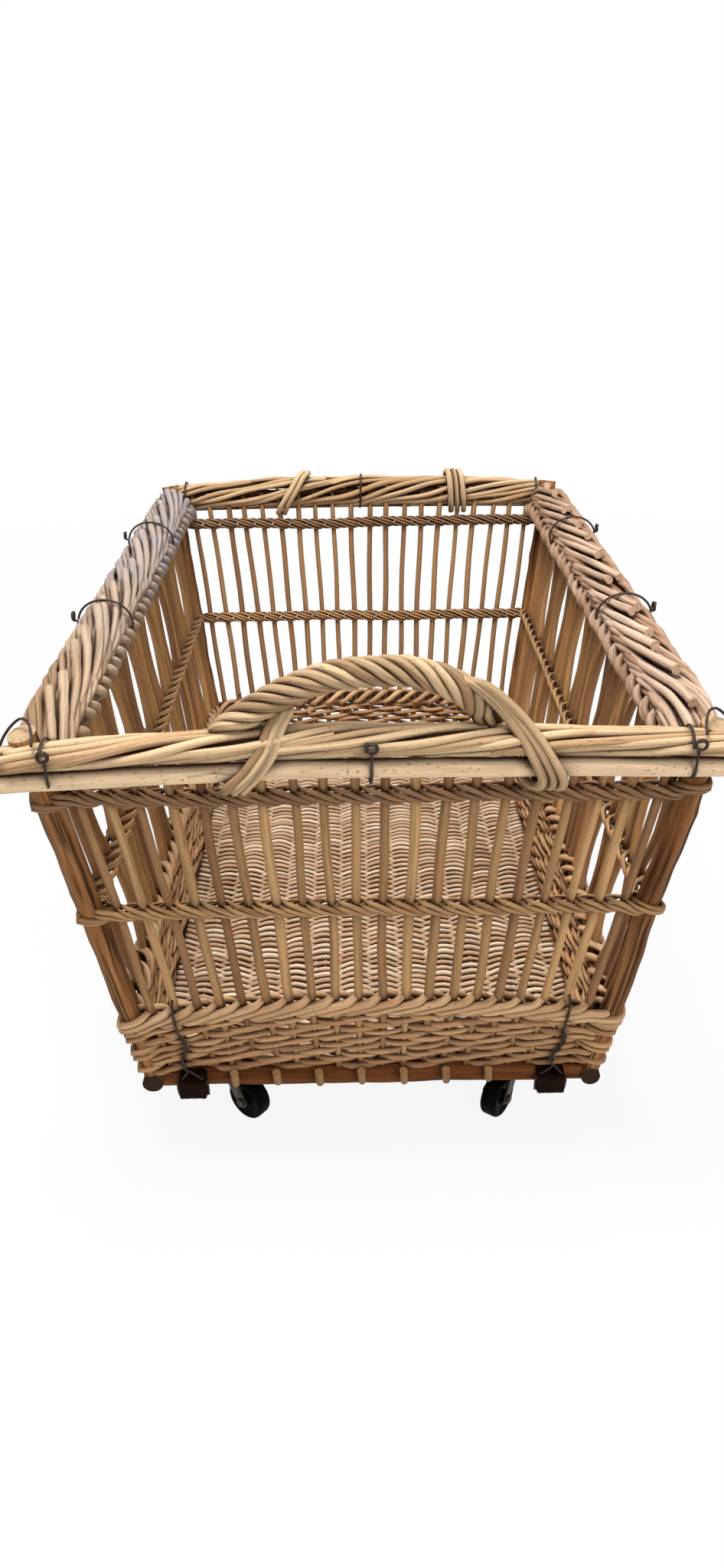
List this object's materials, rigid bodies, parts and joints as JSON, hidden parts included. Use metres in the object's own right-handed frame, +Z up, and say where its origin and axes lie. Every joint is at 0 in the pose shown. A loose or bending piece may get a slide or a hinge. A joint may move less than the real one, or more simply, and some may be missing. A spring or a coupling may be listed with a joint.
{
  "type": "wheeled laundry basket",
  "caption": "Flared rectangular willow laundry basket: open staked walls, woven foot band and floor, plaited and pole rims, rope-twist end handles, stick base on swivel casters.",
  "frame": {"origin": "middle of the underside of the bounding box, on the floor between the wheels", "axes": "+Z up, +Y towards the back end, +X to the right when seen from the front end"},
  "size_m": [0.6604, 1.0482, 0.6066],
  "materials": {
    "bark_post": "round stick with streaks of bark",
    "willow_stake": "golden peeled willow",
    "pale_willow": "straw-coloured willow, worn smooth",
    "floor_willow": "dry pinkish willow",
    "red_rail": "reddish-brown stick",
    "dark_runner": "dark sawn wood",
    "iron_wire": "dull annealed wire",
    "caster_steel": "dull zinc-plated steel",
    "wheel_rubber": "black rubber"
  },
  "bodies": {
    "basket": {"left_base_rail": "red_rail", "right_base_rail": "red_rail", "front_base_rail": "red_rail", "back_base_rail": "red_rail", "left_runner": "dark_runner", "right_runner": "dark_runner", "front_caster_board": "dark_runner", "back_caster_board": "dark_runner", "front_left_post": "bark_post", "front_right_post": "bark_post", "back_left_post": "bark_post", "back_right_post": "bark_post", "woven_floor": "floor_willow", "front_wall": "willow_stake", "back_wall": "willow_stake", "left_wall": "willow_stake", "right_wall": "willow_stake", "front_rim_pole": "pale_willow", "back_rim_pole": "pale_willow", "front_rim_rods": "pale_willow", "back_rim_rods": "pale_willow", "left_rim_plait": "pale_willow", "right_rim_plait": "pale_willow", "front_handle": "willow_stake", "back_handle": "willow_stake", "front_rim_tie_1": "iron_wire", "front_rim_tie_2": "iron_wire", "front_rim_tie_3": "iron_wire", "back_rim_tie_1": "iron_wire", "back_rim_tie_2": "iron_wire", "back_rim_tie_3": "iron_wire", "left_rim_tie_1": "iron_wire", "left_rim_tie_2": "iron_wire", "right_rim_tie_1": "iron_wire", "right_rim_tie_2": "iron_wire", "front_runner_tie_1": "iron_wire", "front_runner_tie_2": "iron_wire", "back_runner_tie_1": "iron_wire", "back_runner_tie_2": "iron_wire", "caster_front_left_plate": "caster_steel", "caster_front_right_plate": "caster_steel", "caster_back_left_plate": "caster_steel", "caster_back_right_plate": "caster_steel"},
    "front_left_fork": {"caster_front_left_fork": "caster_steel", "caster_front_left_axle": "caster_steel"},
    "front_left_wheel": {"caster_front_left_wheel": "wheel_rubber"},
    "front_right_fork": {"caster_front_right_fork": "caster_steel", "caster_front_right_axle": "caster_steel"},
    "front_right_wheel": {"caster_front_right_wheel": "wheel_rubber"},
    "back_left_fork": {"caster_back_left_fork": "caster_steel", "caster_back_left_axle": "caster_steel"},
    "back_left_wheel": {"caster_back_left_wheel": "wheel_rubber"},
    "back_right_fork": {"caster_back_right_fork": "caster_steel", "caster_back_right_axle": "caster_steel"},
    "back_right_wheel": {"caster_back_right_wheel": "wheel_rubber"}
  },
  "joints": [
    {"name": "front_left_swivel", "type": "hinge", "parent": "basket", "child": "front_left_fork", "pos_m": [-0.15603, -0.36827, 0.06], "axis": [0, 0, 1], "continuous": true},
    {"name": "front_left_roll", "type": "hinge", "parent": "front_left_fork", "child": "front_left_wheel", "pos_m": [-0.14071, -0.38112, 0.025], "axis": [0.6428, 0.766, 0], "continuous": true},
    {"name": "front_right_swivel", "type": "hinge", "parent": "basket", "child": "front_right_fork", "pos_m": [0.15603, -0.36827, 0.06], "axis": [0, 0, 1], "continuous": true},
    {"name": "front_right_roll", "type": "hinge", "parent": "front_right_fork", "child": "front_right_wheel", "pos_m": [0.14455, -0.38465, 0.025], "axis": [0.8192, -0.5736, 0], "continuous": true},
    {"name": "back_left_swivel", "type": "hinge", "parent": "basket", "child": "back_left_fork", "pos_m": [-0.15603, 0.32539, 0.06], "axis": [0, 0, 1], "continuous": true},
    {"name": "back_left_roll", "type": "hinge", "parent": "back_left_fork", "child": "back_left_wheel", "pos_m": [-0.14919, 0.34419, 0.025], "axis": [-0.9397, 0.342, 0], "continuous": true},
    {"name": "back_right_swivel", "type": "hinge", "parent": "basket", "child": "back_right_fork", "pos_m": [0.15603, 0.32539, 0.06], "axis": [0, 0, 1], "continuous": true},
    {"name": "back_right_roll", "type": "hinge", "parent": "back_right_fork", "child": "back_right_wheel", "pos_m": [0.14757, 0.34352, 0.025], "axis": [-0.9063, -0.4226, 0], "continuous": true}
  ]
}
